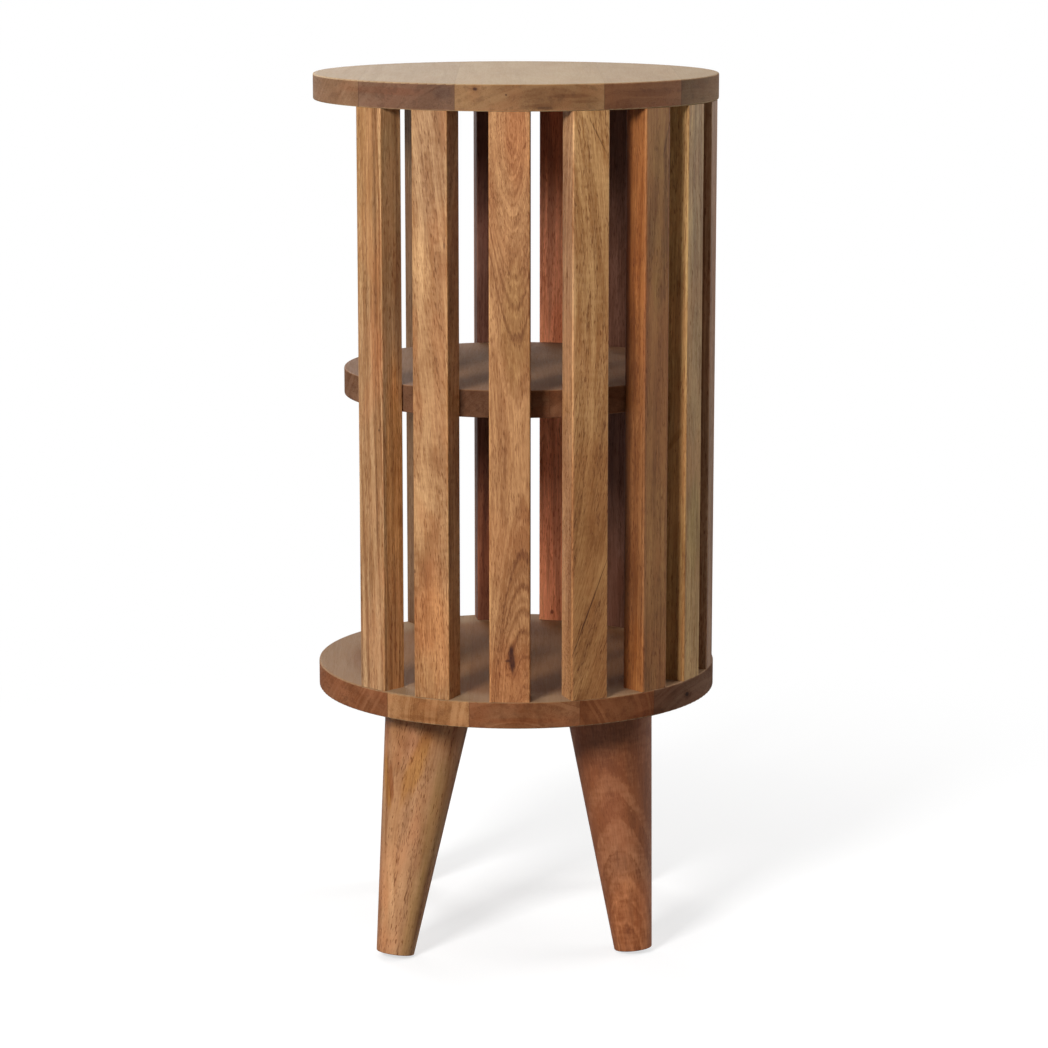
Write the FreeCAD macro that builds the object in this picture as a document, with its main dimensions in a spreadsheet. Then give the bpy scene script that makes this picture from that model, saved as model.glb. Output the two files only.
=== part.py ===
import FreeCAD, Part
import os
import Sketcher

# Round end table with slatted sides, one inner shelf and four splayed legs.
#
# Frame: millimetres, +Z up, origin on the floor under the middle of the discs.
# The open side, through which the shelf is reached, faces -Y.  Angles are in
# degrees, counted from +X towards +Y.
#
# Construction: two equal discs are held apart by a ring of upright slats that
# stand flush with the discs' edges.  A dowel joins each slat to the top disc,
# a countersunk screw pulls it down on the base disc, and a radial dowel ties
# it to the edge of the shelf.  Each tapered leg is cut flush where it meets
# the base, square to its own axis at the foot, and hangs on a hanger bolt in
# a threaded insert.

# Driving dimensions: name, value, what it is.
SIZES = [
    ("panel_diameter", 300.0, "top and base discs"),
    ("top_thickness", 19.0, "top disc"),
    ("base_thickness", 19.5, "base disc"),
    ("shelf_thickness", 20.0, "shelf disc"),
    ("panel_ease", 1.0, "radius of the discs' worn-off edges"),
    ("slat_count", 13, "slats in the ring"),
    ("slat_width", 26.0, "slat, along the rim"),
    ("slat_thickness", 20.5, "slat, towards the middle"),
    ("slat_length", 423.5, "slat, from base to top disc"),
    ("slat_ease", 1.2, "radius of the slats' long edges"),
    ("first_slat_angle", -45.0, "middle of the first slat"),
    ("slat_span_angle", 255.5, "from the first slat's middle to the last one's"),
    ("shelf_height", 204.0, "clear height between base and shelf"),
    ("leg_height", 188.0, "clear height under the base"),
    ("leg_top_diameter", 65.0, "leg where its axis meets the base"),
    ("leg_foot_diameter", 28.2, "leg at the foot"),
    ("leg_foot_ease", 0.8, "radius of the foot's edge"),
    ("leg_inset", 55.5, "from the base's rim to a leg's axis, at the underside"),
    ("leg_splay_angle", 9.7, "lean of a leg's axis from upright"),
    ("dowel_diameter", 8.0, "all dowels"),
    ("dowel_chamfer", 0.8, "dowel ends"),
    ("dowel_play", 0.05, "glue room around a dowel"),
    ("dowel_gap", 1.0, "glue room past each end of a dowel"),
    ("top_dowel_in_panel", 11.0, "top dowel, length in the top disc"),
    ("top_dowel_in_slat", 19.0, "top dowel, length in the slat"),
    ("shelf_dowel_in_slat", 10.0, "shelf dowel, length in the slat"),
    ("shelf_dowel_in_shelf", 15.0, "shelf dowel, length in the shelf"),
    ("screw_diameter", 4.0, "slat screw, shank"),
    ("screw_head_diameter", 8.0, "slat screw, countersunk head"),
    ("screw_length", 45.0, "slat screw, over all"),
    ("screw_tip", 5.0, "slat screw, length of the point"),
    ("screw_play", 0.05, "room around a screw's shank"),
    ("screw_recess", 0.4, "screw head, depth below the surface"),
    ("slot_width", 1.2, "cross slot of a screw head"),
    ("slot_depth", 1.6, "cross slot of a screw head"),
    ("bolt_diameter", 8.0, "hanger bolt"),
    ("bolt_in_leg", 45.0, "hanger bolt, wood end"),
    ("bolt_in_base", 14.0, "hanger bolt, machine end"),
    ("bolt_point", 6.0, "hanger bolt, length of the wood end's point"),
    ("bolt_gap", 2.0, "room past the point of a hanger bolt"),
    ("bolt_play", 0.05, "room around a hanger bolt"),
    ("insert_diameter", 12.0, "threaded insert, outside"),
    ("insert_length", 13.0, "threaded insert"),
    ("insert_recess", 1.6, "threaded insert, depth below the surface"),
    ("insert_chamfer", 0.8, "threaded insert, outer edges"),
]

# The ring was fitted by hand: how far each slat, in order round the ring, is
# turned from even spacing (degrees), and how much it is wider than the rest.
SLAT_TURN_ANGLES = [0.2, -0.5, 0.6, 1.9, 2.4, -1.0, -6.0, -5.0, -3.5, -2.5, -1.8, -1.5, 0.0]
SLAT_EXTRA_WIDTHS = [-0.5, 1.7, 3.2, 1.9, -1.5, -0.8, -3.0, 0.0, 0.0, 0.0, 0.0, 1.0, 0.0]

# The legs, with their place round the base and how each one was fitted off
# that place and off the common splay (degrees).
LEGS = {
    "leg_front_right": {"place_angle": -45.0, "turn_angle": 1.7, "lean_angle": 1.7},
    "leg_back_right": {"place_angle": 45.0, "turn_angle": 1.6, "lean_angle": -1.7},
    "leg_back_left": {"place_angle": 135.0, "turn_angle": 0.0, "lean_angle": 0.0},
    "leg_front_left": {"place_angle": 225.0, "turn_angle": 0.0, "lean_angle": 0.0},
}

LEAD = 10.0  # how far a cutter starts outside the wood it enters at a slant
TOLERANCE = 1e-4  # how closely an edge must match the place it is looked for

doc = FreeCAD.newDocument("SlattedEndTable")


# ---------------------------------------------------------------- sheets

def add_sheet(name, rows):
    """A spreadsheet with one aliased number a row, and its meaning beside it."""
    sheet = doc.addObject("Spreadsheet::Sheet", name)
    for row, (alias, number, meaning) in enumerate(rows, start=1):
        sheet.set(f"A{row}", str(number))
        sheet.setAlias(f"A{row}", alias)
        sheet.set(f"B{row}", meaning)
    return sheet


def fitting_rows(count):
    """The hand-fitted differences, a slat or leg at a time."""
    rows = []
    for number in range(1, count + 1):
        fitted = number <= len(SLAT_TURN_ANGLES)
        turn = SLAT_TURN_ANGLES[number - 1] if fitted else 0.0
        widen = SLAT_EXTRA_WIDTHS[number - 1] if fitted else 0.0
        rows.append((f"slat_turn_angle_{number:02d}", turn, "slat, degrees off even spacing"))
        rows.append((f"slat_extra_width_{number:02d}", widen, "slat, extra width"))
    for name, angles in LEGS.items():
        for which, degrees in angles.items():
            rows.append((f"{name}_{which}", degrees, f"leg, {which.replace('_', ' ')}"))
    return rows


size = add_sheet("Size", SIZES)
doc.recompute()
slat_count = int(size.slat_count)
fitting = add_sheet("Fitting", fitting_rows(slat_count))
doc.recompute()

# Lengths and heights that several pieces share, as expressions of the sheets.
BASE_UNDERSIDE = "Size.leg_height"
BASE_TOP = "(Size.leg_height + Size.base_thickness)"
SHELF_UNDERSIDE = f"({BASE_TOP} + Size.shelf_height)"
SHELF_MIDDLE = "(Size.shelf_height + Size.shelf_thickness / 2)"  # above the base
TOP_UNDERSIDE = f"({BASE_TOP} + Size.slat_length)"
SLAT_FACE = "sqrt(pow(Size.panel_diameter / 2; 2) - pow(Size.slat_width / 2; 2))"
SLAT_BACK = f"({SLAT_FACE} - Size.slat_thickness)"
SLAT_MIDDLE = f"({SLAT_FACE} - Size.slat_thickness / 2)"
LEG_CIRCLE = "(Size.panel_diameter / 2 - Size.leg_inset)"
DOWEL_BORE = "(Size.dowel_diameter + 2 * Size.dowel_play)"
SCREW_BORE = "(Size.screw_diameter + 2 * Size.screw_play)"
BOLT_BORE = "(Size.bolt_diameter + 2 * Size.bolt_play)"
INSERT_BORE = "(Size.insert_diameter + 2 * Size.bolt_play)"
FLAT = "0"
OUTWARD = "90"
INWARD = "-90"
UPSIDE_DOWN = "180"


def slat_angle(number):
    """Where a slat's middle stands round the ring."""
    even = f"Size.first_slat_angle + {number - 1} * Size.slat_span_angle / (Size.slat_count - 1)"
    return f"({even} + Fitting.slat_turn_angle_{number:02d})"


def leg_angle(name):
    return f"(Fitting.{name}_place_angle + Fitting.{name}_turn_angle)"


def leg_lean(name):
    return f"(Size.leg_splay_angle + Fitting.{name}_lean_angle)"


def leg_length(name):
    """Along a leg's axis, from the base to the foot whose inner edge touches the floor."""
    ease = "Size.leg_foot_ease"
    reach = f"(Size.leg_foot_diameter / 2 - {ease}) * sin({leg_lean(name)})"
    return f"(({BASE_UNDERSIDE} - {ease} - {reach}) / cos({leg_lean(name)}) + {ease})"


# ---------------------------------------------------------------- helpers

def value(expression):
    """The number that an expression of the sheets has now."""
    return float(size.evalExpression(expression))


def polar_place(radius, angle, height, tilt):
    """A placement given by polar coordinates.

    Its own Z axis leans from +Z by tilt, away from the middle.
    """
    x = f"({radius}) * cos({angle})"
    y = f"({radius}) * sin({angle})"
    return f"placement(vector({x}; {y}; {height}); rotation({angle}; {tilt}; 0))"


def add_body(name):
    body = doc.addObject("PartDesign::Body", name)
    body.Label = name
    return body


def add_sketch(body, name, plane, offset=None):
    """A sketch on one of the body's own origin planes, moved by an expression."""
    sketch = body.newObject("Sketcher::SketchObject", name)
    support = [item for item in body.Origin.OriginFeatures if item.Role == plane][0]
    sketch.AttachmentSupport = [(support, "")]
    sketch.MapMode = "FlatFace"
    if offset:
        sketch.setExpression("AttachmentOffset", offset)
    return sketch


def bind_coordinate(sketch, kind, geometry, point, expression):
    """Holds a point's distance from the sketch's origin at an expression."""
    if expression == "0":
        axis = -2 if kind == "DistanceX" else -1
        sketch.addConstraint(Sketcher.Constraint("PointOnObject", geometry, point, axis))
        return
    rule = Sketcher.Constraint(kind, -1, 1, geometry, point, value(expression))
    index = sketch.addConstraint(rule)
    sketch.setExpression(f"Constraints[{index}]", expression)


def draw_outline(sketch, corners):
    """A closed outline of straight lines, each corner given by two expressions."""
    points = [FreeCAD.Vector(value(x), value(y), 0) for x, y in corners]
    count = len(points)
    for index in range(count):
        sketch.addGeometry(Part.LineSegment(points[index], points[(index + 1) % count]))
    for index in range(count):
        following = (index + 1) % count
        sketch.addConstraint(Sketcher.Constraint("Coincident", index, 2, following, 1))
    for index, (x, y) in enumerate(corners):
        bind_coordinate(sketch, "DistanceX", index, 1, x)
        bind_coordinate(sketch, "DistanceY", index, 1, y)


def draw_circle(sketch, diameter):
    """A circle round the sketch's origin."""
    normal = FreeCAD.Vector(0, 0, 1)
    circle = Part.Circle(FreeCAD.Vector(0, 0, 0), normal, value(diameter) / 2)
    edge = sketch.addGeometry(circle)
    sketch.addConstraint(Sketcher.Constraint("Coincident", edge, 3, -1, 1))
    index = sketch.addConstraint(Sketcher.Constraint("Diameter", edge, value(diameter)))
    sketch.setExpression(f"Constraints[{index}]", diameter)


def pad(body, name, sketch, length):
    feature = body.newObject("PartDesign::Pad", name)
    feature.Profile = sketch
    feature.setExpression("Length", length)
    return feature


def revolve(body, name, sketch):
    """Turns a half profile round the sketch's upright axis."""
    feature = body.newObject("PartDesign::Revolution", name)
    feature.Profile = sketch
    feature.ReferenceAxis = (sketch, ["V_Axis"])
    feature.Angle = 360
    return feature


def bore(body, name, radius, angle, height, tilt, diameter, depth):
    """A round hole into the body from a mouth given by polar coordinates.

    The mouth faces along the placement's own Z axis and the hole runs back from it.
    """
    offset = polar_place(radius, angle, height, tilt)
    sketch = add_sketch(body, f"{name}_circle", "XY_Plane", offset)
    draw_circle(sketch, diameter)
    hole = body.newObject("PartDesign::Pocket", name)
    hole.Profile = sketch
    hole.setExpression("Length", depth)
    return hole


def circles_at(shape, height, diameter):
    """Names of the shape's round edges of one diameter that lie flat at a height."""
    names = []
    for index, edge in enumerate(shape.Edges, start=1):
        box = edge.BoundBox
        is_flat = box.ZLength < TOLERANCE and abs(box.ZMin - height) < TOLERANCE
        is_round = edge.Curve.TypeId == "Part::GeomCircle"
        if is_flat and is_round and abs(edge.Curve.Radius - diameter / 2) < TOLERANCE:
            names.append(f"Edge{index}")
    return names


def round_off(body, name, base, edges, radius):
    """Rounds the named edges of the feature that the body ends with so far."""
    feature = body.newObject("PartDesign::Fillet", name)
    feature.Base = (base, edges)
    feature.setExpression("Radius", radius)
    return feature


def add_group(name, master, places):
    """One sub-part made of a copy of the master at each placement."""
    copies = []
    for number, place in enumerate(places, start=1):
        copy = doc.addObject("App::Link", f"{name}_{number:02d}")
        copy.LinkedObject = master
        copy.setExpression("Placement", place)
        copies.append(copy)
    group = doc.addObject("Part::Compound", name)
    group.Label = name
    group.Links = copies
    return group


# ---------------------------------------------------------------- discs

def disc_blank(name, diameter, thickness, height):
    """A disc with both round edges eased, before any hole is bored."""
    body = add_body(name)
    body.setExpression("Placement", f"placement(vector(0; 0; {height}); rotation(0; 0; 0))")
    outline = add_sketch(body, f"{name}_outline", "XY_Plane")
    draw_circle(outline, diameter)
    blank = pad(body, f"{name}_blank", outline, thickness)
    doc.recompute()
    edges = circles_at(blank.Shape, 0.0, value(diameter))
    edges += circles_at(blank.Shape, value(thickness), value(diameter))
    round_off(body, f"{name}_edges", blank, edges, "Size.panel_ease")
    return body


def top_panel():
    """Top disc, with a blind dowel hole over each slat."""
    body = disc_blank("top_panel", "Size.panel_diameter", "Size.top_thickness", TOP_UNDERSIDE)
    depth = "Size.top_dowel_in_panel + Size.dowel_gap"
    for number in range(1, slat_count + 1):
        bore(body, f"top_bore_{number:02d}", SLAT_MIDDLE, slat_angle(number), "0",
             UPSIDE_DOWN, DOWEL_BORE, depth)
    return body


def shelf():
    """Shelf disc that just touches the slats' backs, with a radial dowel hole at each."""
    diameter = f"(2 * {SLAT_BACK})"
    body = disc_blank("shelf", diameter, "Size.shelf_thickness", SHELF_UNDERSIDE)
    depth = "Size.shelf_dowel_in_shelf + Size.dowel_gap"
    for number in range(1, slat_count + 1):
        bore(body, f"shelf_bore_{number:02d}", SLAT_BACK, slat_angle(number),
             "Size.shelf_thickness / 2", OUTWARD, DOWEL_BORE, depth)
    return body


def base_panel():
    """Base disc, with a countersunk hole under each slat and a leaning insert hole for each leg."""
    body = disc_blank("base_panel", "Size.panel_diameter", "Size.base_thickness", BASE_UNDERSIDE)
    for name in LEGS:
        lean = leg_lean(name)
        radius = f"{LEG_CIRCLE} + {LEAD} * sin({lean})"
        depth = f"{LEAD} + Size.insert_recess + Size.insert_length"
        bore(body, f"{name}_insert_bore", radius, leg_angle(name), f"-{LEAD} * cos({lean})",
             f"180 - {lean}", INSERT_BORE, depth)
    for number in range(1, slat_count + 1):
        hole = bore(body, f"screw_bore_{number:02d}", SLAT_MIDDLE, slat_angle(number), "0",
                    UPSIDE_DOWN, SCREW_BORE, "Size.base_thickness")
    doc.recompute()
    sink = body.newObject("PartDesign::Chamfer", "countersinks")
    sink.Base = (hole, circles_at(hole.Shape, 0.0, value(SCREW_BORE)))
    sink.setExpression("Size", "(Size.screw_head_diameter - Size.screw_diameter) / 2 + Size.screw_recess")
    return body


# ---------------------------------------------------------------- slats

def slat(number):
    """An upright slat, in a frame turned so that its outer face looks along +X."""
    name = f"slat_{number:02d}"
    body = add_body(name)
    turned = f"rotation({slat_angle(number)}; 0; 0)"
    body.setExpression("Placement", f"placement(vector(0; 0; {BASE_TOP}); {turned})")
    half_width = f"(Size.slat_width + Fitting.slat_extra_width_{number:02d}) / 2"
    section = add_sketch(body, f"{name}_section", "XY_Plane")
    draw_outline(section, [
        (SLAT_BACK, f"-{half_width}"),
        (SLAT_FACE, f"-{half_width}"),
        (SLAT_FACE, half_width),
        (SLAT_BACK, half_width),
    ])
    blank = pad(body, f"{name}_blank", section, "Size.slat_length")
    doc.recompute()
    length = value("Size.slat_length")
    long_edges = [f"Edge{index}" for index, edge in enumerate(blank.Shape.Edges, start=1)
                  if abs(edge.BoundBox.ZLength - length) < TOLERANCE]
    round_off(body, f"{name}_edges", blank, long_edges, "Size.slat_ease")
    bore(body, f"{name}_top_bore", SLAT_MIDDLE, "0", "Size.slat_length", FLAT,
         DOWEL_BORE, "Size.top_dowel_in_slat + Size.dowel_gap")
    bore(body, f"{name}_shelf_bore", SLAT_BACK, "0", SHELF_MIDDLE, INWARD,
         DOWEL_BORE, "Size.shelf_dowel_in_slat + Size.dowel_gap")
    bore(body, f"{name}_screw_bore", SLAT_MIDDLE, "0", "0", UPSIDE_DOWN, SCREW_BORE,
         "Size.screw_length + Size.screw_recess - Size.base_thickness + Size.dowel_gap")
    return body


# ---------------------------------------------------------------- legs

def leg(name):
    """A tapered round leg, in a frame with its axis upright and the base joint at the origin."""
    body = add_body(name)
    lean = leg_lean(name)
    length = leg_length(name)
    body.setExpression("Placement", polar_place(LEG_CIRCLE, leg_angle(name), BASE_UNDERSIDE, f"-{lean}"))
    top_radius = "Size.leg_top_diameter / 2"
    foot_radius = "Size.leg_foot_diameter / 2"
    spare = top_radius  # the turned blank runs on this far above the joint
    blank_radius = f"{top_radius} + ({top_radius} - {foot_radius}) * {spare} / {length}"
    taper = add_sketch(body, f"{name}_taper", "XZ_Plane")
    draw_outline(taper, [
        ("0", f"-{length}"),
        (foot_radius, f"-{length}"),
        (blank_radius, spare),
        ("0", spare),
    ])
    blank = revolve(body, f"{name}_blank", taper)
    doc.recompute()
    foot_edge = circles_at(blank.Shape, -value(length), value("Size.leg_foot_diameter"))
    round_off(body, f"{name}_foot_edge", blank, foot_edge, "Size.leg_foot_ease")

    # The top is sawn level with the base's underside, at a slant to the leg's own axis.
    above = "Size.leg_top_diameter"
    rise = f"{above} * tan({lean})"
    saw_cut = add_sketch(body, f"{name}_saw_cut", "XZ_Plane")
    draw_outline(saw_cut, [
        (f"-{above}", rise),
        (above, f"-{rise}"),
        (above, above),
        (f"-{above}", above),
    ])
    level_top = body.newObject("PartDesign::Pocket", f"{name}_level_top")
    level_top.Profile = saw_cut
    level_top.Midplane = True
    level_top.setExpression("Length", f"2 * {above}")
    bore(body, f"{name}_bolt_bore", "0", "0", str(LEAD), FLAT,
         BOLT_BORE, f"{LEAD} + Size.bolt_in_leg + Size.bolt_gap")
    return body


# ---------------------------------------------------------------- fasteners

def dowel(name, length):
    """A beech dowel along +Z from the origin, with chamfered ends."""
    body = add_body(name)
    half = "Size.dowel_diameter / 2"
    profile = add_sketch(body, f"{name}_profile", "XZ_Plane")
    draw_outline(profile, [
        ("0", "0"),
        (f"{half} - Size.dowel_chamfer", "0"),
        (half, "Size.dowel_chamfer"),
        (half, f"{length} - Size.dowel_chamfer"),
        (f"{half} - Size.dowel_chamfer", length),
        ("0", length),
    ])
    revolve(body, f"{name}_turned", profile)
    return body


def slat_screw():
    """A countersunk wood screw, head at the origin and point along +Z."""
    body = add_body("slat_screw")
    head = "Size.screw_head_diameter / 2"
    shank = "Size.screw_diameter / 2"
    profile = add_sketch(body, "slat_screw_profile", "XZ_Plane")
    draw_outline(profile, [
        ("0", "0"),
        (head, "0"),
        (shank, f"{head} - {shank}"),
        (shank, "Size.screw_length - Size.screw_tip"),
        ("0", "Size.screw_length"),
    ])
    revolve(body, "slat_screw_turned", profile)
    arm = "Size.screw_diameter / 2"
    half_slot = "Size.slot_width / 2"
    cross = add_sketch(body, "slat_screw_cross", "XY_Plane")
    draw_outline(cross, [
        (arm, f"-{half_slot}"), (arm, half_slot), (half_slot, half_slot),
        (half_slot, arm), (f"-{half_slot}", arm), (f"-{half_slot}", half_slot),
        (f"-{arm}", half_slot), (f"-{arm}", f"-{half_slot}"), (f"-{half_slot}", f"-{half_slot}"),
        (f"-{half_slot}", f"-{arm}"), (half_slot, f"-{arm}"), (half_slot, f"-{half_slot}"),
    ])
    recess = body.newObject("PartDesign::Pocket", "slat_screw_recess")
    recess.Profile = cross
    recess.Reversed = True
    recess.setExpression("Length", "Size.slot_depth")
    return body


def hanger_bolt():
    """Wood end down into the leg and machine end up into the base, along +Z through the joint."""
    body = add_body("hanger_bolt")
    half = "Size.bolt_diameter / 2"
    profile = add_sketch(body, "hanger_bolt_profile", "XZ_Plane")
    draw_outline(profile, [
        ("0", "-Size.bolt_in_leg"),
        (half, "-Size.bolt_in_leg + Size.bolt_point"),
        (half, "Size.bolt_in_base - Size.insert_chamfer"),
        (f"{half} - Size.insert_chamfer", "Size.bolt_in_base"),
        ("0", "Size.bolt_in_base"),
    ])
    revolve(body, "hanger_bolt_turned", profile)
    return body


def threaded_insert():
    """A sleeve screwed into the base, its mouth just inside the underside."""
    body = add_body("threaded_insert")
    outer = "Size.insert_diameter / 2"
    inner = f"{BOLT_BORE} / 2"
    low = "Size.insert_recess"
    high = "(Size.insert_recess + Size.insert_length)"
    profile = add_sketch(body, "threaded_insert_profile", "XZ_Plane")
    draw_outline(profile, [
        (inner, low),
        (f"{outer} - Size.insert_chamfer", low),
        (outer, f"{low} + Size.insert_chamfer"),
        (outer, f"{high} - Size.insert_chamfer"),
        (f"{outer} - Size.insert_chamfer", high),
        (inner, high),
    ])
    revolve(body, "threaded_insert_turned", profile)
    return body


def fastener_groups():
    """Every set of identical fasteners, seated in the holes made for it."""
    slats = [slat_angle(number) for number in range(1, slat_count + 1)]
    top_dowel = dowel("top_dowel", "(Size.top_dowel_in_panel + Size.top_dowel_in_slat)")
    shelf_dowel = dowel("shelf_dowel", "(Size.shelf_dowel_in_shelf + Size.shelf_dowel_in_slat)")
    top_height = f"{TOP_UNDERSIDE} - Size.top_dowel_in_slat"
    shelf_height = f"{BASE_TOP} + {SHELF_MIDDLE}"
    shelf_start = f"{SLAT_BACK} - Size.shelf_dowel_in_shelf"
    screw_height = f"{BASE_UNDERSIDE} + Size.screw_recess"
    leg_axes = [
        polar_place(LEG_CIRCLE, leg_angle(name), BASE_UNDERSIDE, f"-{leg_lean(name)}")
        for name in LEGS
    ]
    return [
        add_group("top_dowels", top_dowel,
                  [polar_place(SLAT_MIDDLE, angle, top_height, FLAT) for angle in slats]),
        add_group("shelf_dowels", shelf_dowel,
                  [polar_place(shelf_start, angle, shelf_height, OUTWARD) for angle in slats]),
        add_group("slat_screws", slat_screw(),
                  [polar_place(SLAT_MIDDLE, angle, screw_height, FLAT) for angle in slats]),
        add_group("hanger_bolts", hanger_bolt(), leg_axes),
        add_group("threaded_inserts", threaded_insert(), leg_axes),
    ]


# ---------------------------------------------------------------- build and check

def check_document():
    """Stops on any object that failed, and on any hole that removed nothing."""
    for item in doc.Objects:
        if "Invalid" in item.State or "Error" in item.State:
            raise RuntimeError(f"{item.Name} failed: {item.State}")
        if item.TypeId == "PartDesign::Pocket":
            removed = item.BaseFeature.Shape.Volume - item.Shape.Volume
            if removed < 1.0:
                raise RuntimeError(f"{item.Name} removes nothing")


def write_parts(parts):
    """Writes each sub-part's shape to a STEP file that has its label as its name."""
    os.makedirs("parts", exist_ok=True)
    for part in parts:
        shape = part.Shape
        if shape.isNull() or not shape.isValid() or not shape.Solids:
            raise RuntimeError(f"{part.Label} has no valid solid")
        shape.exportStep(f"parts/{part.Label}.step")
        print(f"{part.Label}: {len(shape.Solids)} solid(s), {shape.Volume / 1000:.1f} cm3")


parts = [top_panel(), shelf(), base_panel()]
parts += [slat(number) for number in range(1, slat_count + 1)]
parts += [leg(name) for name in LEGS]
parts += fastener_groups()
doc.recompute()
check_document()
write_parts(parts)
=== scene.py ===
"""Looks for the slatted end table: solid-wood materials, a pale floor, studio light and a camera.

Metres, +Z up, origin on the floor under the discs.  The camera stands on the +X
side, so the picture's right is +Y and the open side of the ring is at its left.
Sizes inside the wood materials are in millimetres.
"""
import math
from typing import NamedTuple

import bpy
from mathutils import Matrix, Vector


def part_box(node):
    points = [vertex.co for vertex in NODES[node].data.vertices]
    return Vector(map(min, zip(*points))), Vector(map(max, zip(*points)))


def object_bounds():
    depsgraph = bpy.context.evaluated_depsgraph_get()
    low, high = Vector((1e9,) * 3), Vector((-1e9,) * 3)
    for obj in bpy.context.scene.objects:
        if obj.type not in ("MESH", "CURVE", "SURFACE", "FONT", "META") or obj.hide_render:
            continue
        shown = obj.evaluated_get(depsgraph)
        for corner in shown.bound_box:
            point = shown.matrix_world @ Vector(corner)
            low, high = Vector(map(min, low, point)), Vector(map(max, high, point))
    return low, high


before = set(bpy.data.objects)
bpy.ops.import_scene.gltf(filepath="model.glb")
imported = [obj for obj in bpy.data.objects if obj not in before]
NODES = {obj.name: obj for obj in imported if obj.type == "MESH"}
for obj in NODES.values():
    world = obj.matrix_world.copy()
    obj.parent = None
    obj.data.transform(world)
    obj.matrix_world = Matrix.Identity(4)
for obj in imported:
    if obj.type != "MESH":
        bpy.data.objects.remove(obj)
cad_low, cad_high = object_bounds()

MM_PER_M = 1000.0
NO_TURN = (0.0, 0.0, 0.0)
WHITE = (1.0, 1.0, 1.0, 1.0)
# A Mix node's sockets for colours.  Those for other types have the same names.
MIX_FIRST, MIX_SECOND, MIX_RESULT = 6, 7, 2


# ---------------------------------------------------------------- node helpers

def linear(red, green, blue):
    """A colour written in 0..255 display values (sRGB), as the linear one that a shader takes."""
    def channel(value):
        share = value / 255
        return share / 12.92 if share <= 0.04045 else ((share + 0.055) / 1.055) ** 2.4
    return (channel(red), channel(green), channel(blue), 1.0)


def tinted(color, factors):
    """A linear colour times a factor for each of red, green and blue."""
    red, green, blue = (channel * factor for channel, factor in zip(color, factors))
    return (red, green, blue, 1.0)


class Tree:
    """Adds and joins the nodes of one shader tree with short calls."""

    def __init__(self, tree):
        self.tree = tree

    def feed(self, value, socket):
        """Joins a socket to an input, or sets the input to a plain value."""
        if isinstance(value, bpy.types.NodeSocket):
            self.tree.links.new(value, socket)
        else:
            socket.default_value = value

    def add(self, kind, values=(), **settings):
        """A new node of a kind, with its settings, and its inputs fed from (socket, value) pairs."""
        node = self.tree.nodes.new(kind)
        for name, setting in settings.items():
            setattr(node, name, setting)
        for socket, value in dict(values).items():
            self.feed(value, node.inputs[socket])
        return node

    def math(self, operation, *values, clamp=False):
        node = self.add("ShaderNodeMath", enumerate(values), operation=operation, use_clamp=clamp)
        return node.outputs[0]

    def total(self, start, *shares):
        """start plus each value times its weight."""
        for value, weight in shares:
            start = self.math("MULTIPLY_ADD", value, weight, start)
        return start

    def gap(self, value, other):
        """How far two values are apart."""
        return self.math("ABSOLUTE", self.math("SUBTRACT", value, other))

    def vector(self, operation, *values):
        node = self.add("ShaderNodeVectorMath", operation=operation)
        for socket, value in zip(node.inputs, values):
            self.feed(value, socket)
        return node.outputs["Value" if operation in ("LENGTH", "DOT_PRODUCT") else "Vector"]

    def scale(self, vector, factor):
        node = self.add("ShaderNodeVectorMath", {"Vector": vector, "Scale": factor}, operation="SCALE")
        return node.outputs["Vector"]

    def split(self, vector):
        return self.add("ShaderNodeSeparateXYZ", {"Vector": vector}).outputs

    def join(self, x=0.0, y=0.0, z=0.0):
        return self.add("ShaderNodeCombineXYZ", {"X": x, "Y": y, "Z": z}).outputs[0]

    def coordinates(self, kind):
        return self.add("ShaderNodeTexCoord").outputs[kind]

    def normal(self):
        return self.add("ShaderNodeNewGeometry").outputs["Normal"]

    def noise(self, vector, detail=2.0, roughness=0.5):
        return self.add("ShaderNodeTexNoise", {
            "Vector": vector, "Scale": 1.0, "Detail": detail, "Roughness": roughness}).outputs

    def spread(self, value, low, high, to_low=0.0, to_high=1.0):
        """Maps low..high smoothly to to_low..to_high, level outside.  low may be the larger."""
        node = self.add("ShaderNodeMapRange", {
            "Value": value, "From Min": low, "From Max": high,
            "To Min": to_low, "To Max": to_high}, interpolation_type="SMOOTHSTEP")
        return node.outputs["Result"]

    def mix(self, factor, first, second, blend="MIX"):
        node = self.add("ShaderNodeMix", data_type="RGBA", blend_type=blend)
        self.feed(factor, node.inputs["Factor"])
        self.feed(first, node.inputs[MIX_FIRST])
        self.feed(second, node.inputs[MIX_SECOND])
        return node.outputs[MIX_RESULT]

    def tint(self, color, factors, share=1.0):
        """A colour times some factors, or a share of the way there."""
        return self.mix(share, color, factors, "MULTIPLY")

    def bump(self, height, strength, distance):
        """A normal for a height; distance is in metres."""
        node = self.add("ShaderNodeBump", {"Height": height, "Strength": strength, "Distance": distance})
        return node.outputs[0]


def new_material(name):
    """A material with its tree's helper and its Principled shader."""
    material = bpy.data.materials.new(name)
    material.use_nodes = True
    return material, Tree(material.node_tree), material.node_tree.nodes["Principled BSDF"]


def dress(node, material):
    """Gives a CAD piece its only material."""
    NODES[node].data.materials.clear()
    NODES[node].data.materials.append(material)


# ---------------------------------------------------------------- mango wood

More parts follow.
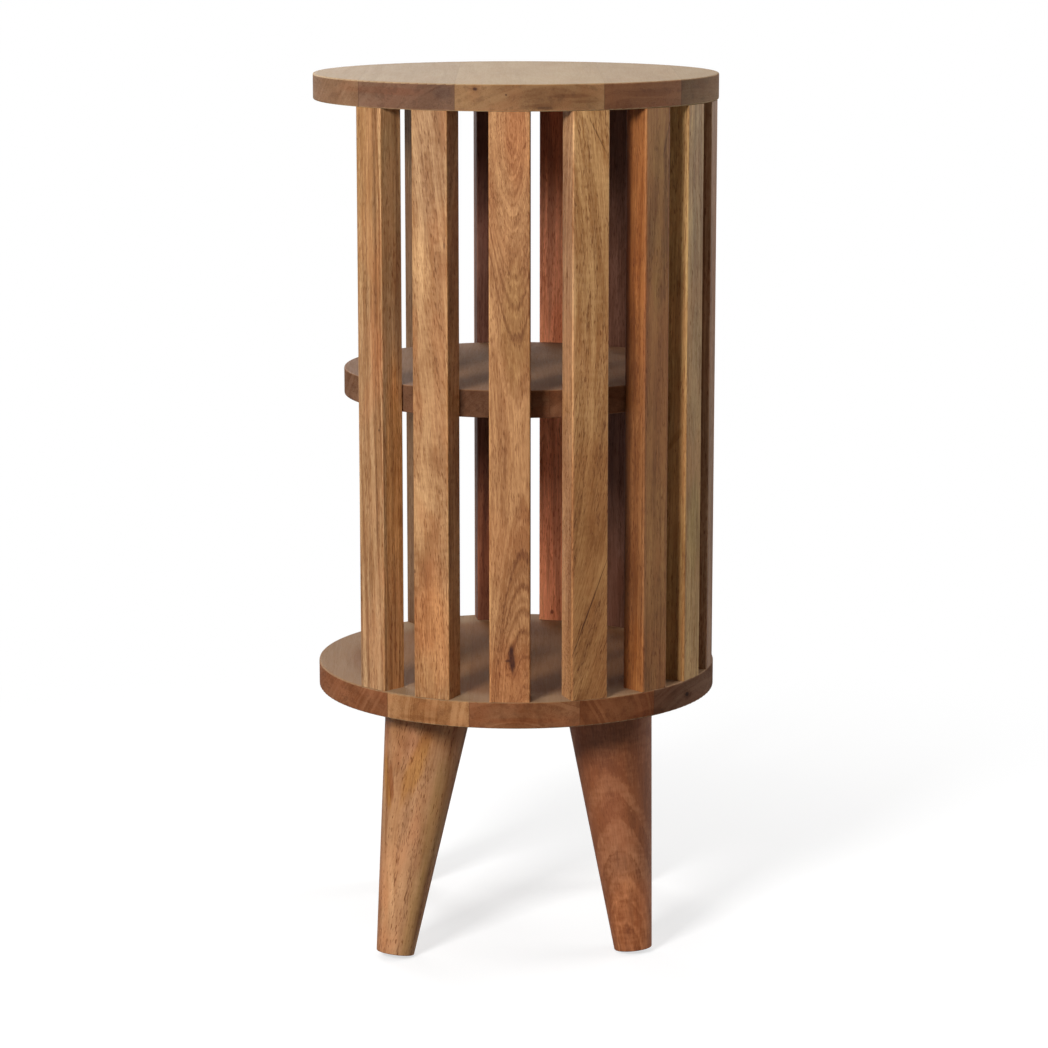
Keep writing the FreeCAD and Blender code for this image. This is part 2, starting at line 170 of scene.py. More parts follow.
WOOD_SOCKETS = {
    ("INPUT", "NodeSocketVector"): ("Vector", "Pith", "Lean", "Bow"),
    ("INPUT", "NodeSocketColor"): ("Pale", "Deep", "Vein", "Blush"),
    ("INPUT", "NodeSocketFloat"): (
        "Seed", "Ring", "Wander", "Rings", "Veins", "Blushes", "Fibre", "Pores", "Ripple"),
    ("OUTPUT", "NodeSocketColor"): ("Color",),
    ("OUTPUT", "NodeSocketFloat"): ("Roughness", "Height", "Radius"),
}


class Feature(NamedTuple):
    """A pattern in the wood: its size across and along the grain, in millimetres, and its noise.

    The noise between low and high is stretched to 0..1.
    """
    across: float
    along: float
    detail: float = 2.0
    roughness: float = 0.5
    low: float = 0.34
    high: float = 0.66


SLOW_BEND = Feature(45.0, 170.0, detail=1.0)            # the grain strays over a hand's length
QUICK_BEND = Feature(9.0, 40.0)                         # and over a finger's
FRAY = Feature(1.6, 7.0)                                # the rough outline of a growth ring
LINE_BREAK = Feature(12.0, 50.0, low=0.35, high=0.62)   # where a ring's dark line fades
STRIPE = Feature(4.0, 150.0)
STRAND = Feature(1.2, 26.0, detail=3.0)
FLECK = Feature(0.9, 5.0)
HAIR = Feature(0.5, 9.0, detail=1.0, low=0.30, high=0.70)
PORE = Feature(0.65, 5.5, detail=1.0, roughness=0.4)
PORE_CROWD = Feature(6.0, 45.0, detail=1.0, low=0.42, high=0.78)    # where pores stand close
RIPPLE = Feature(9.0, 3.2)                              # short bands across the grain
PATCH = Feature(24.0, 70.0, detail=3.0)                 # darker and paler areas
BLUSH = Feature(22.0, 60.0, low=0.46, high=0.62)        # areas of another hue
VEIN = Feature(5.0, 200.0, detail=3.0, roughness=0.62, low=0.58, high=0.74)     # long and dark

NOISE_MIDDLE = 0.5
SEED_STEP = (131.0, 71.0, 37.0)     # how far a seed of 1 moves the noise
QUICK_SHARE = 0.16                  # of Wander, for the quick bends
FRAY_DEPTH = 0.9                    # millimetres

# The rings' noise runs across them.  Bands are its high parts, and a line is where it
# crosses its middle.
RING_CHANGE = 420.0                 # millimetres along the grain over which the rings change
RING_BANDS = (0.34, 0.66)
RING_LINE = (0.11, 0.01)            # distances from the middle: where a line starts and is whole
BROKEN_LINE = 0.25                  # strength of a line where it fades
WIDE_RINGS = 0.23                   # a wide band spans 1 / 0.23, so about four, rings
WIDE_BANDS = (0.36, 0.64)

# Pores are the highest parts of their noise.
SPARSE_LIMIT, CROWDED_LIMIT = 0.66, 0.55
PORE_EDGE = 0.10
BAND_PORES = 0.25                   # how much the bands crowd the pores

# How much each feature adds to the depth of the brown.
WIDE_SHARE, BAND_SHARE, LINE_SHARE = 0.26, 0.30, 0.50
FLECK_SHARE, STRAND_SHARE, STRIPE_SHARE = 0.26, 0.34, 0.22
PATCH_SHARE = 0.40
PLAIN_DEPTH = 0.09                  # the depth where nothing darkens the wood
PLAIN_FIBRE = 0.41                  # the sum of the fibres that leaves it as it is

BAND_VEINS = 0.12                   # how much the bands draw the veins
HAIR_SHADE, PORE_SHADE = 0.12, -0.34
GREEN_POWER, BLUE_POWER = 1.35, 1.6     # a shade takes more of green and blue than of red
PLAIN_ROUGHNESS, STRAND_ROUGHER, PORE_ROUGHER = 0.46, 0.08, 0.22
HAIR_HEIGHT, STRAND_HEIGHT, PORE_HEIGHT = 0.25, 0.35, -0.8


class GrainTree(Tree):
    """The tree of the wood group, with noises drawn out along the grain."""

    def __init__(self, group):
        super().__init__(group)
        self.given = self.add("NodeGroupInput").outputs
        # Where in the noise the board with this seed lies.
        self.corner = self.scale(SEED_STEP, self.given["Seed"])

    def grain(self, at, feature):
        """A feature's noise: a value, and a colour with three other values."""
        cell = (1 / feature.across, 1 / feature.across, 1 / feature.along)
        cells = self.vector("MULTIPLY", self.vector("ADD", at, self.corner), cell)
        return self.noise(cells, feature.detail, feature.roughness)

    def sharp(self, at, feature, to_low=0.0, to_high=1.0):
        """The noise's value, stretched."""
        return self.spread(self.grain(at, feature)[0], feature.low, feature.high, to_low, to_high)

    def stray(self, at, feature, reach):
        """A move to any side, as far as reach."""
        middle = (NOISE_MIDDLE, NOISE_MIDDLE, NOISE_MIDDLE)
        return self.scale(self.vector("SUBTRACT", self.grain(at, feature)["Color"], middle), reach)


def straightened(t, place):
    """Where a place would be if the grain ran straight: without its wander, lean and bow."""
    wander = t.given["Wander"]
    slow = t.stray(place, SLOW_BEND, wander)
    quick = t.stray(place, QUICK_BEND, t.math("MULTIPLY", wander, QUICK_SHARE))
    along = t.split(place)[2]
    curve = t.scale(t.given["Bow"], t.math("MULTIPLY", along, along))
    drift = t.vector("ADD", t.scale(t.given["Lean"], along), curve)
    moved = t.vector("ADD", place, t.vector("ADD", slow, quick))
    x, y, _ = t.split(t.vector("SUBTRACT", moved, drift))
    return t.join(x, y, along)


def growth_rings(t, place, fibre):
    """Distance from the pith, the soft bands there, and how much the rings darken the wood."""
    x, y, _ = t.split(t.vector("SUBTRACT", fibre, t.given["Pith"]))
    fray = t.grain(place, FRAY)[0]
    radius = t.total(t.vector("LENGTH", t.join(x, y)), (fray, FRAY_DEPTH))
    count = t.math("DIVIDE", radius, t.given["Ring"])
    along = t.math("MULTIPLY", t.split(place)[2], 1 / RING_CHANGE)
    ring_place = t.join(count, t.given["Seed"], along)
    noise = t.noise(ring_place)[0]
    wide_noise = t.noise(t.scale(ring_place, WIDE_RINGS), detail=1.0)[0]
    bands = t.spread(noise, *RING_BANDS)
    wide_bands = t.spread(wide_noise, *WIDE_BANDS)
    line = t.spread(t.gap(noise, NOISE_MIDDLE), *RING_LINE)
    line = t.math("MULTIPLY", line, t.sharp(place, LINE_BREAK, BROKEN_LINE, 1.0))
    rings = t.total(0.0, (wide_bands, WIDE_SHARE), (bands, BAND_SHARE), (line, LINE_SHARE))
    return radius, bands, rings


def open_pores(t, fibre, bands):
    """Single dark pores, more of them in some bands and areas."""
    crowd = t.total(t.grain(fibre, PORE_CROWD)[0], (bands, BAND_PORES))
    limit = t.spread(crowd, PORE_CROWD.low, PORE_CROWD.high, SPARSE_LIMIT, CROWDED_LIMIT)
    noise = t.grain(fibre, PORE)[0]
    pore = t.spread(noise, limit, t.math("ADD", limit, PORE_EDGE))
    return t.math("MULTIPLY", pore, t.given["Pores"])


def brown_depth(t, place, rings, fibres):
    """How deep the brown is, from 0 to 1."""
    fibres = t.math("SUBTRACT", fibres, PLAIN_FIBRE)
    ripple = t.math("SUBTRACT", t.sharp(place, RIPPLE), NOISE_MIDDLE)
    depth = t.total(PLAIN_DEPTH, (rings, t.given["Rings"]), (fibres, t.given["Fibre"]),
                    (t.sharp(place, PATCH), PATCH_SHARE))
    return t.math("MULTIPLY_ADD", ripple, t.given["Ripple"], depth, clamp=True)


def wood_color(t, place, fibre, bands, depth):
    """The brown, with areas of another hue and long dark veins."""
    color = t.mix(depth, t.given["Pale"], t.given["Deep"])
    blush = t.spread(t.grain(place, BLUSH)["Color"], BLUSH.low, BLUSH.high)
    color = t.mix(t.math("MULTIPLY", blush, t.given["Blushes"]), color, t.given["Blush"])
    vein = t.total(t.grain(fibre, VEIN)[0], (bands, BAND_VEINS))
    vein = t.math("MULTIPLY", t.spread(vein, VEIN.low, VEIN.high), t.given["Veins"])
    return t.mix(vein, color, t.given["Vein"])


def wood_shade(t, hair, pore):
    """The dark of the finest fibres and the pores, as a factor for each channel."""
    hair_shade = t.math("MULTIPLY", t.given["Fibre"], HAIR_SHADE)
    shade = t.total(1.0, (t.math("SUBTRACT", hair, NOISE_MIDDLE), hair_shade))
    shade = t.math("MULTIPLY", shade, t.total(1.0, (pore, PORE_SHADE)))
    return t.join(shade, t.math("POWER", shade, GREEN_POWER), t.math("POWER", shade, BLUE_POWER))


def wood_group():
    """Solid mango wood.  Its own frame has the grain along Z.

    Vector is the place in the board.  Pith is where the tree's middle runs, Lean and Bow
    are how far the grain strays to the side for each millimetre along it, and for each
    one squared.  Ring is the width of a growth ring and Wander how far the grain meanders.
    Rings, Veins, Blushes, Fibre, Pores and Ripple say how strongly each of those shows.
    """
    group = bpy.data.node_groups.new("mango_wood", "ShaderNodeTree")
    for (in_out, kind), names in WOOD_SOCKETS.items():
        for name in names:
            group.interface.new_socket(name, in_out=in_out, socket_type=kind)
    t = GrainTree(group)
    place = t.given["Vector"]
    fibre = straightened(t, place)
    radius, bands, rings = growth_rings(t, place, fibre)
    stripe = t.sharp(fibre, STRIPE)
    strand = t.sharp(fibre, STRAND)
    fleck = t.sharp(fibre, FLECK)
    hair = t.sharp(fibre, HAIR)
    pore = open_pores(t, fibre, bands)
    fibres = t.total(0.0, (fleck, FLECK_SHARE), (strand, STRAND_SHARE), (stripe, STRIPE_SHARE))
    color = wood_color(t, place, fibre, bands, brown_depth(t, place, rings, fibres))
    roughness = t.total(PLAIN_ROUGHNESS, (strand, STRAND_ROUGHER), (pore, PORE_ROUGHER))
    height = t.total(0.0, (hair, HAIR_HEIGHT), (strand, STRAND_HEIGHT), (pore, PORE_HEIGHT))
    t.add("NodeGroupOutput", {
        "Color": t.tint(color, wood_shade(t, hair, pore)),
        "Roughness": roughness, "Height": height, "Radius": radius})
    return group


MANGO = wood_group()

# The wood's colours, as factors of its middle tone.
TONES = {
    "Pale": (1.30, 1.44, 1.60),
    "Deep": (0.68, 0.58, 0.48),
    "Vein": (0.42, 0.34, 0.30),
    "Blush": (1.12, 0.90, 0.84),
}
# The other values of a board, where its own look doesn't change them.
GRAIN = {
    "Pith": (-70.0, 12.0, 0.0), "Lean": (0.01, 0.0, 0.0), "Bow": (0.0, 0.0, 0.0),
    "Ring": 2.4, "Wander": 5.0, "Rings": 0.7, "Veins": 0.35, "Blushes": 0.35,
    "Fibre": 1.0, "Pores": 1.0, "Ripple": 0.0,
}


def wood(tone, **own):
    """A board's look: its middle tone in 0..255 display values, and its own values."""
    middle = linear(*tone)
    colors = {name: tinted(middle, factors) for name, factors in TONES.items()}
    return {**GRAIN, **colors, **own}


class Mark(NamedTuple):
    """An egg-shaped area of a piece, where a tint multiplies the wood's colour.

    centre and radii are millimetres in the piece's own frame, and turn is in degrees
    about its axes.  The tint is whole within core, a share of the radii, and ragged says
    how uneven the outline is.
    """
    tint: tuple
    strength: float
    centre: tuple
    radii: tuple
    turn: tuple = NO_TURN
    core: float = 0.4
    ragged: float = 0.5


class Knot(NamedTuple):
    """A place that the grain parts round, and how far it is pushed aside there."""
    centre: tuple
    radii: tuple
    push: float


class Board(NamedTuple):
    """One board of a disc: its pith (down, along Y) from its own middle, its seed and its tint."""
    pith: tuple
    seed: float
    tint: tuple


KNOT_REACH, KNOT_CORE = 3.2, 0.4    # the grain bends from and to these shares of a knot's radii
MARK_GRAIN = 2.3                    # how fine the unevenness of a mark's outline is
LINE_WIDTH, LINE_CORE = 0.5, 0.05   # a growth line fades between these distances
ARRIS_WIDTH, ARRIS_CORE = 1.5, 0.3  # a worn edge begins and is whole this far from the corner
END_GRAIN = (0.25, 1.0)             # how squarely a face cuts the grain: starts to darken, darkest
WOOD_IOR = 1.45
WOOD_SHINE = 0.4
WOOD_BUMP = 0.6
BUMP_DEPTH = 0.0001                 # metres
GROWTH_LINE = (0.60, 0.48, 0.38, 1.0)   # tints of a single dark line
LEG_END = (0.56, 0.47, 0.42, 1.0)       # and of the legs' end grain


def board_place(t, place):
    """Millimetres in a board's own frame, which stands at place with the grain along its Z."""
    inward = place.inverted()
    metres = t.add("ShaderNodeMapping", {
        "Vector": t.coordinates("Object"), "Location": inward.translation,
        "Rotation": inward.to_3x3().to_euler("XYZ")}).outputs[0]
    return t.scale(metres, MM_PER_M)


def in_egg(t, at, centre, radii, turn=NO_TURN):
    """A place in the frame of an egg, where the egg is a ball with a radius of 1."""
    return t.add("ShaderNodeMapping", {
        "Vector": at, "Location": centre, "Scale": radii,
        "Rotation": [math.radians(angle) for angle in turn]}, vector_type="TEXTURE").outputs[0]


def marked(t, color, at, mark):
    """The colour with one mark on it."""
    inside = in_egg(t, at, mark.centre, mark.radii, mark.turn)
    noise = t.noise(t.scale(inside, MARK_GRAIN), detail=3.0)[0]
    fuzz = t.total(-mark.ragged / 2, (noise, mark.ragged))
    reach = t.math("ADD", t.vector("LENGTH", inside), fuzz)
    share = t.math("MULTIPLY", t.spread(reach, 1.0, mark.core), mark.strength)
    return t.tint(color, mark.tint, share)


def parted(t, at, knot):
    """Places moved sideways near a knot, so that the grain parts round it."""
    inside = in_egg(t, at, knot.centre, knot.radii)
    near = t.spread(t.vector("LENGTH", inside), KNOT_REACH, KNOT_CORE, 0.0, -knot.push)
    x, y, _ = t.split(inside)
    return t.vector("ADD", at, t.join(t.math("MULTIPLY", x, near), t.math("MULTIPLY", y, near)))


def lined(t, color, radius, distance, strength):
    """The colour with a thin dark growth line at a distance from the pith."""
    share = t.spread(t.gap(radius, distance), LINE_WIDTH, LINE_CORE, 0.0, strength)
    return t.tint(color, GROWTH_LINE, share)


def arris(t, first, second, half_first, half_second):
    """1 along the edge where two faces meet, from distances off the middle of the piece."""
    near_first = t.spread(first, half_first - ARRIS_WIDTH, half_first - ARRIS_CORE)
    near_second = t.spread(second, half_second - ARRIS_WIDTH, half_second - ARRIS_CORE)
    return t.math("MULTIPLY", near_first, near_second)


def add_wood(t, surface, at, look, knots=(), marks=(), lines=(), shine=WOOD_SHINE, duller=0.0):
    """Wood of one look, with its knots, marks and growth lines.  Returns its colour.

    Its roughness, bump and shine go straight to the shader.  shine is the strength of the
    reflections, and duller is added to the wood's roughness.
    """
    grain_at = at
    for knot in knots:
        grain_at = parted(t, grain_at, knot)
    node = t.add("ShaderNodeGroup", node_tree=MANGO)
    for name, value in {**look, "Vector": grain_at}.items():
        t.feed(value, node.inputs[name])
    made = node.outputs
    color = made["Color"]
    for distance, strength in lines:
        color = lined(t, color, made["Radius"], distance, strength)
    for mark in marks:
        color = marked(t, color, at, mark)
    t.feed(t.math("ADD", made["Roughness"], duller), surface.inputs["Roughness"])
    t.feed(t.bump(made["Height"], WOOD_BUMP, BUMP_DEPTH), surface.inputs["Normal"])
    surface.inputs["IOR"].default_value = WOOD_IOR
    surface.inputs["Specular IOR Level"].default_value = shine
    return color


def end_grain(t, color, direction, tint=LEG_END):
    """Darkens the faces that cut across the grain, which drink up more of the finish."""
    across = t.math("ABSOLUTE", t.vector("DOT_PRODUCT", t.normal(), direction))
    return t.tint(color, tint, t.spread(across, *END_GRAIN))


# ---------------------------------------------------------------- slats

DARK = (0.25, 0.17, 0.14, 1.0)      # knots, dark lines, and painted shade on slat_05's side
STAIN_AND_SHADE = (0.72, 0.62, 0.52, 1.0)     # brown streaks, and painted shade where other parts shadow a face
RUST = (0.98, 0.82, 0.72, 1.0)      # reddish heartwood
ROSY = (1.06, 0.97, 1.02, 1.0)      # pinkish sapwood
OLIVE = (0.90, 0.96, 0.80, 1.0)     # greenish gold
PALE = (1.18, 1.22, 1.24, 1.0)      # bleached patches, and painted fill light on shaded slat sides
GREY = (0.84, 0.88, 0.98, 1.0)      # weathered patches
HONEY = (1.26, 1.15, 0.98, 1.0)     # glowing golden patches
AMBER = (0.94, 0.82, 0.44, 1.0)     # yellow-brown streaks
BRICK = (1.00, 0.84, 0.98, 1.0)     # red-brown heartwood
PAINTED_KEY_LIGHT = (1.62, 1.28, 1.27, 1.0)     # painted light on slat_11's inner face, as if more key light reached it
PAINTED_SHADE = (0.48, 0.42, 0.54, 1.0)     # painted shade on faces that the ring of slats keeps in shadow

SLAT_EDGE = (1.30, 1.32, 1.30, 1.0)     # worn long edges
SLAT_EDGE_SHARE = 0.7                   # how worn they are

# Each slat's look, knots, marks and growth lines (distance from the pith, strength).
# Their places are in the slat's own frame: outwards, along the rim, up from half its height.
SLAT_WOODS = {
    "slat_01": dict(
        look=wood((183, 139, 96), Seed=1.7, Pith=(-50.0, 30.0, 0.0), Ring=2.0, Wander=4.0, Veins=0.6),
        marks=[
            Mark(STAIN_AND_SHADE, 0.8, (9.0, 13.0, 178.0), (3.0, 1.6, 40.0)),
            Mark(RUST, 0.7, (10.0, 7.0, 55.0), (9.0, 8.0, 70.0)),
            Mark(RUST, 0.6, (-4.0, 12.8, 97.0), (5.0, 9.0, 34.0)),
            Mark(STAIN_AND_SHADE, 0.7, (-6.6, 12.7, -84.0), (4.0, 9.0, 13.0)),
            Mark(OLIVE, 0.3, (0.0, 0.0, 160.0), (60.0, 60.0, 110.0)),
            Mark(PALE, 0.5, (10.0, 11.0, -110.0), (5.0, 3.0, 80.0)),
            Mark(HONEY, 1.0, (-2.0, 13.0, -110.0), (12.0, 6.0, 170.0), core=0.7),
            Mark(HONEY, 0.7, (-2.0, 13.0, -50.0), (12.0, 6.0, 110.0)),
            Mark(PALE, 0.6, (10.0, -7.0, 150.0), (6.0, 17.0, 120.0)),
            Mark(DARK, 0.8, (10.3, 9.2, -19.0), (2.0, 1.0, 1.4)),
        ],
        lines=[(62.6, 0.9), (63.8, 0.6), (65.9, 0.5), (69.5, 0.4), (72.4, 0.5), (58.4, 0.5),
               (56.6, 0.35), (53.4, 0.4), (50.9, 0.3), (47.6, 0.4)],
    ),
    "slat_02": dict(
        look=wood((176, 129, 84), Seed=3.4, Pith=(-34.0, -16.0, 0.0), Lean=(0.02, -0.085, 0.0),
                  Bow=(0.0, -0.00014, 0.0), Ring=3.4, Wander=9.0, Veins=0.2, Blushes=0.3, Pores=1.15,
                  Ripple=0.16),
        knots=[Knot((10.0, 5.0, 108.0), (6.0, 7.0, 14.0), 0.9),
               Knot((10.0, 6.0, -34.0), (6.0, 6.0, 11.0), 0.9)],
        marks=[
            Mark(PALE, 0.7, (10.2, -6.0, 100.0), (20.0, 11.0, 30.0), turn=(15.0, 0.0, 0.0)),
            Mark(STAIN_AND_SHADE, 0.6, (10.2, 10.0, 103.0), (8.0, 6.0, 14.0)),
            Mark(DARK, 0.6, (10.2, 11.6, 117.0), (2.0, 1.0, 3.0)),
            Mark(STAIN_AND_SHADE, 0.7, (10.2, 5.3, -36.0), (9.0, 10.0, 14.0)),
            Mark(PALE, 0.6, (10.2, -7.0, -76.0), (20.0, 10.0, 42.0)),
            Mark(RUST, 0.8, (10.2, 0.0, -146.0), (20.0, 22.0, 50.0)),
            Mark(GREY, 0.6, (10.2, 0.0, 180.0), (20.0, 22.0, 70.0)),
            Mark(HONEY, 0.5, (10.2, 0.0, -175.0), (20.0, 22.0, 60.0)),
            # Painted fill light on the shaded +Y side.
            Mark(PALE, 1.0, (0.0, 14.5, 0.0), (30.0, 3.0, 400.0)),
            Mark(DARK, 0.7, (10.2, -13.0, -119.0), (2.0, 1.4, 2.0)),
        ],
    ),
    "slat_03": dict(
        look=wood((173, 121, 75), Seed=5.1, Pith=(-16.7, 6.3, 0.0), Lean=(0.0253, -0.027, 0.0),
                  Bow=(0.00055, 0.0, 0.0), Ring=1.7, Wander=3.0, Veins=0.1, Blushes=0.2),
        knots=[Knot((10.0, 1.7, -180.0), (9.0, 2.6, 11.0), 1.6)],
        marks=[
            Mark(RUST, 0.8, (0.0, 0.0, -212.0), (60.0, 40.0, 62.0)),
            Mark(RUST, 0.7, (8.0, 6.0, 190.0), (20.0, 13.0, 46.0)),
            Mark(OLIVE, 0.6, (8.0, 4.0, 60.0), (20.0, 14.0, 60.0)),
            Mark(PALE, 0.7, (10.3, 0.0, -40.0), (2.0, 1.5, 42.0), turn=(-3.0, 0.0, 0.0)),
            Mark(STAIN_AND_SHADE, 0.5, (10.3, -3.5, -44.0), (2.0, 1.5, 40.0), turn=(-3.0, 0.0, 0.0)),
            Mark(STAIN_AND_SHADE, 0.8, (10.0, 1.7, -180.0), (9.0, 5.0, 16.0)),
            Mark(STAIN_AND_SHADE, 0.6, (10.0, -7.0, -173.0), (6.0, 5.0, 3.0)),
            Mark(DARK, 1.0, (10.0, 1.7, -180.0), (8.0, 2.9, 14.0), turn=(4.0, 0.0, 0.0)),
            Mark(DARK, 0.7, (10.0, -1.4, -181.0), (4.0, 3.0, 1.4)),
        ],
        lines=[(24.4, 0.9), (23.3, 0.5), (22.1, 0.8), (20.9, 0.5), (19.7, 0.6), (17.7, 0.6),
               (14.6, 0.6), (10.3, 0.4)],
    ),
    "slat_04": dict(
        look=wood((174, 128, 80), Seed=6.8, Pith=(-46.0, 18.0, 0.0), Lean=(0.02, 0.10, 0.0),
                  Bow=(0.0, -0.0006, 0.0), Ring=2.2, Wander=6.0, Veins=0.25, Pores=1.3, Blushes=0.15,
                  Ripple=0.14),
        marks=[
            Mark(STAIN_AND_SHADE, 1.0, (12.0, 3.0, -140.0), (14.0, 40.0, 160.0), core=0.6),
            Mark(PALE, 0.5, (8.0, 0.0, 185.0), (30.0, 30.0, 60.0)),
            Mark(ROSY, 0.9, (0.0, -15.0, 0.0), (40.0, 4.0, 500.0)),
            Mark(GREY, 0.6, (0.0, -15.0, 120.0), (40.0, 4.0, 160.0)),
            Mark(DARK, 0.6, (10.3, 5.5, 193.0), (2.0, 0.7, 19.0), turn=(28.0, 0.0, 0.0), ragged=0.2),
            Mark(DARK, 0.8, (10.3, 0.4, -143.0), (2.0, 0.65, 56.0), turn=(-21.0, 0.0, 0.0), ragged=0.2),
        ],
    ),
    "slat_05": dict(
        look=wood((141, 94, 49), Seed=8.5, Pith=(-60.0, -20.0, 0.0), Ring=2.6, Veins=0.5),
        knots=[Knot((10.0, 5.0, 79.0), (5.0, 5.0, 9.0), 1.5)],
        marks=[
            Mark(BRICK, 0.6, (0.0, -13.0, 0.0), (60.0, 5.0, 500.0)),
            # Painted shadow of slat_04 on the inner half of the -Y side.
            Mark(STAIN_AND_SHADE, 1.0, (-11.0, -13.0, 20.0), (13.0, 5.0, 500.0), ragged=0.9),
            Mark(DARK, 0.4, (-11.0, -13.0, 0.0), (9.0, 5.0, 300.0), ragged=0.9),
            Mark(STAIN_AND_SHADE, 0.6, (-2.0, -13.0, 10.0), (8.0, 5.0, 30.0)),
            Mark(STAIN_AND_SHADE, 0.5, (2.0, -13.0, -120.0), (9.0, 5.0, 40.0)),
            Mark(HONEY, 0.9, (0.0, -13.0, 130.0), (40.0, 5.0, 120.0)),
            Mark(HONEY, 0.8, (0.0, -13.0, -205.0), (40.0, 5.0, 60.0)),
            Mark(STAIN_AND_SHADE, 0.8, (-4.0, -12.0, 60.0), (6.0, 8.0, 26.0)),
            Mark(OLIVE, 0.9, (10.2, 2.0, 130.0), (4.0, 16.0, 90.0)),
            Mark(DARK, 0.5, (10.2, 7.6, 187.0), (2.0, 1.2, 15.0), turn=(-14.0, 0.0, 0.0)),
            Mark(STAIN_AND_SHADE, 0.7, (10.2, 4.8, 79.0), (3.0, 5.0, 8.0)),
        ],
    ),
    "slat_06": dict(
        look=wood((182, 144, 91), Seed=10.2, Pith=(-52.0, 24.0, 0.0), Ring=2.6, Wander=7.0, Veins=0.4),
        marks=[
            Mark(GREY, 0.6, (10.2, 3.0, 90.0), (3.0, 14.0, 200.0)),
            Mark(OLIVE, 0.9, (10.2, 3.0, -100.0), (3.0, 14.0, 50.0)),
            # Painted fill light on the shaded -Y side, towards its inner edge and top.
            Mark(PALE, 1.0, (-4.0, -13.0, 120.0), (12.0, 4.0, 160.0)),
            Mark(RUST, 0.5, (8.0, -13.0, 0.0), (10.0, 5.0, 500.0)),
            Mark(STAIN_AND_SHADE, 0.7, (4.0, -13.0, -170.0), (16.0, 5.0, 90.0)),
            Mark(PALE, 0.5, (10.2, 3.0, -185.0), (3.0, 14.0, 60.0)),
            Mark(STAIN_AND_SHADE, 0.5, (10.2, 3.0, -60.0), (12.0, 14.0, 90.0)),
            Mark(STAIN_AND_SHADE, 0.8, (2.0, -12.6, -30.0), (14.0, 3.0, 3.0), turn=(0.0, -55.0, 0.0)),
        ],
    ),
    "slat_07": dict(
        look=wood((150, 112, 80), Seed=11.9, Pith=(-60.0, 0.0, 0.0), Veins=0.6),
    ),
    "slat_08": dict(
        look=wood((164, 118, 76), Seed=13.6, Pith=(-30.0, 8.0, 0.0), Lean=(0.04, 0.0, 0.0), Ring=1.9),
    ),
    "slat_09": dict(
        look=wood((170, 126, 84), Seed=15.3, Pith=(-44.0, -14.0, 0.0), Wander=8.0),
    ),
    "slat_10": dict(
        look=wood((152, 106, 76), Seed=17.0, Pith=(-60.0, 10.0, 0.0)),
        marks=[
            # Painted shade on the inner half, which faces into the ring.
            Mark(PAINTED_SHADE, 0.75, (-12.0, 0.0, 0.0), (19.0, 90.0, 900.0), core=0.6),
            # Painted shadow of the top disc on the top of the inner face.
            Mark(STAIN_AND_SHADE, 1.0, (-10.0, 0.0, 215.0), (8.0, 60.0, 100.0)),
        ],
    ),
    "slat_11": dict(
        look=wood((180, 124, 84), Seed=18.7, Pith=(48.0, 10.0, 0.0), Ring=2.4, Veins=0.6),
        marks=[
            # Painted light on the inner half, as if the key light reached it.
            Mark(PAINTED_KEY_LIGHT, 1.0, (-12.0, 0.0, 0.0), (19.0, 90.0, 900.0), core=0.6),
            Mark(DARK, 0.9, (-10.3, 2.4, -205.0), (3.0, 1.8, 2.4)),
            # Painted shadow of the top disc on the top of the inner face.
            Mark(STAIN_AND_SHADE, 1.0, (-10.0, 0.0, 200.0), (8.0, 60.0, 100.0)),
            Mark(STAIN_AND_SHADE, 0.8, (-10.0, 0.0, 215.0), (8.0, 60.0, 80.0)),
            Mark(STAIN_AND_SHADE, 0.6, (-10.0, 2.0, -40.0), (4.0, 3.0, 60.0)),
        ],
    ),
    "slat_12": dict(
        look=wood((146, 98, 66), Seed=20.4, Pith=(40.0, -20.0, 0.0), Veins=0.8),
        marks=[
            # Painted shade on the inner half, which faces into the ring.
            Mark(PAINTED_SHADE, 1.0, (-12.0, 0.0, 0.0), (19.0, 90.0, 900.0), core=0.6),
            Mark(HONEY, 1.0, (-10.0, 0.0, -110.0), (8.0, 40.0, 140.0)),
            Mark(HONEY, 0.9, (-10.0, 0.0, -180.0), (8.0, 40.0, 100.0), core=0.6),
            # Painted shadow of the top disc on the top of the inner face.
            Mark(STAIN_AND_SHADE, 1.0, (-10.0, 0.0, 200.0), (8.0, 60.0, 120.0)),
        ],
    ),
    "slat_13": dict(
        look=wood((146, 108, 70), Seed=22.1, Pith=(-26.0, 4.0, 0.0), Lean=(-0.05, 0.0, 0.0), Ring=1.8),
        marks=[
            # Painted shade on the +Y side.
            Mark(PAINTED_SHADE, 0.45, (2.0, 13.0, 0.0), (40.0, 9.0, 900.0), core=0.6),
        ],
    ),
}


def centre(node):
    """The middle of a piece's box."""
    low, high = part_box(node)
    return (low + high) / 2


def slat_place(node):
    """A slat's frame: X outwards, Y along the rim, Z up, origin half way up the slat."""
    middle = centre(node)
    return Matrix.Translation(middle) @ Matrix.Rotation(math.atan2(middle.y, middle.x), 4, "Z")


def half_size(node, place):
    """Half of a piece's extent along each axis of its own frame, in millimetres."""
    inward = place.inverted()
    points = [inward @ vertex.co for vertex in NODES[node].data.vertices]
    return [MM_PER_M * max(abs(point[axis]) for point in points) for axis in range(3)]


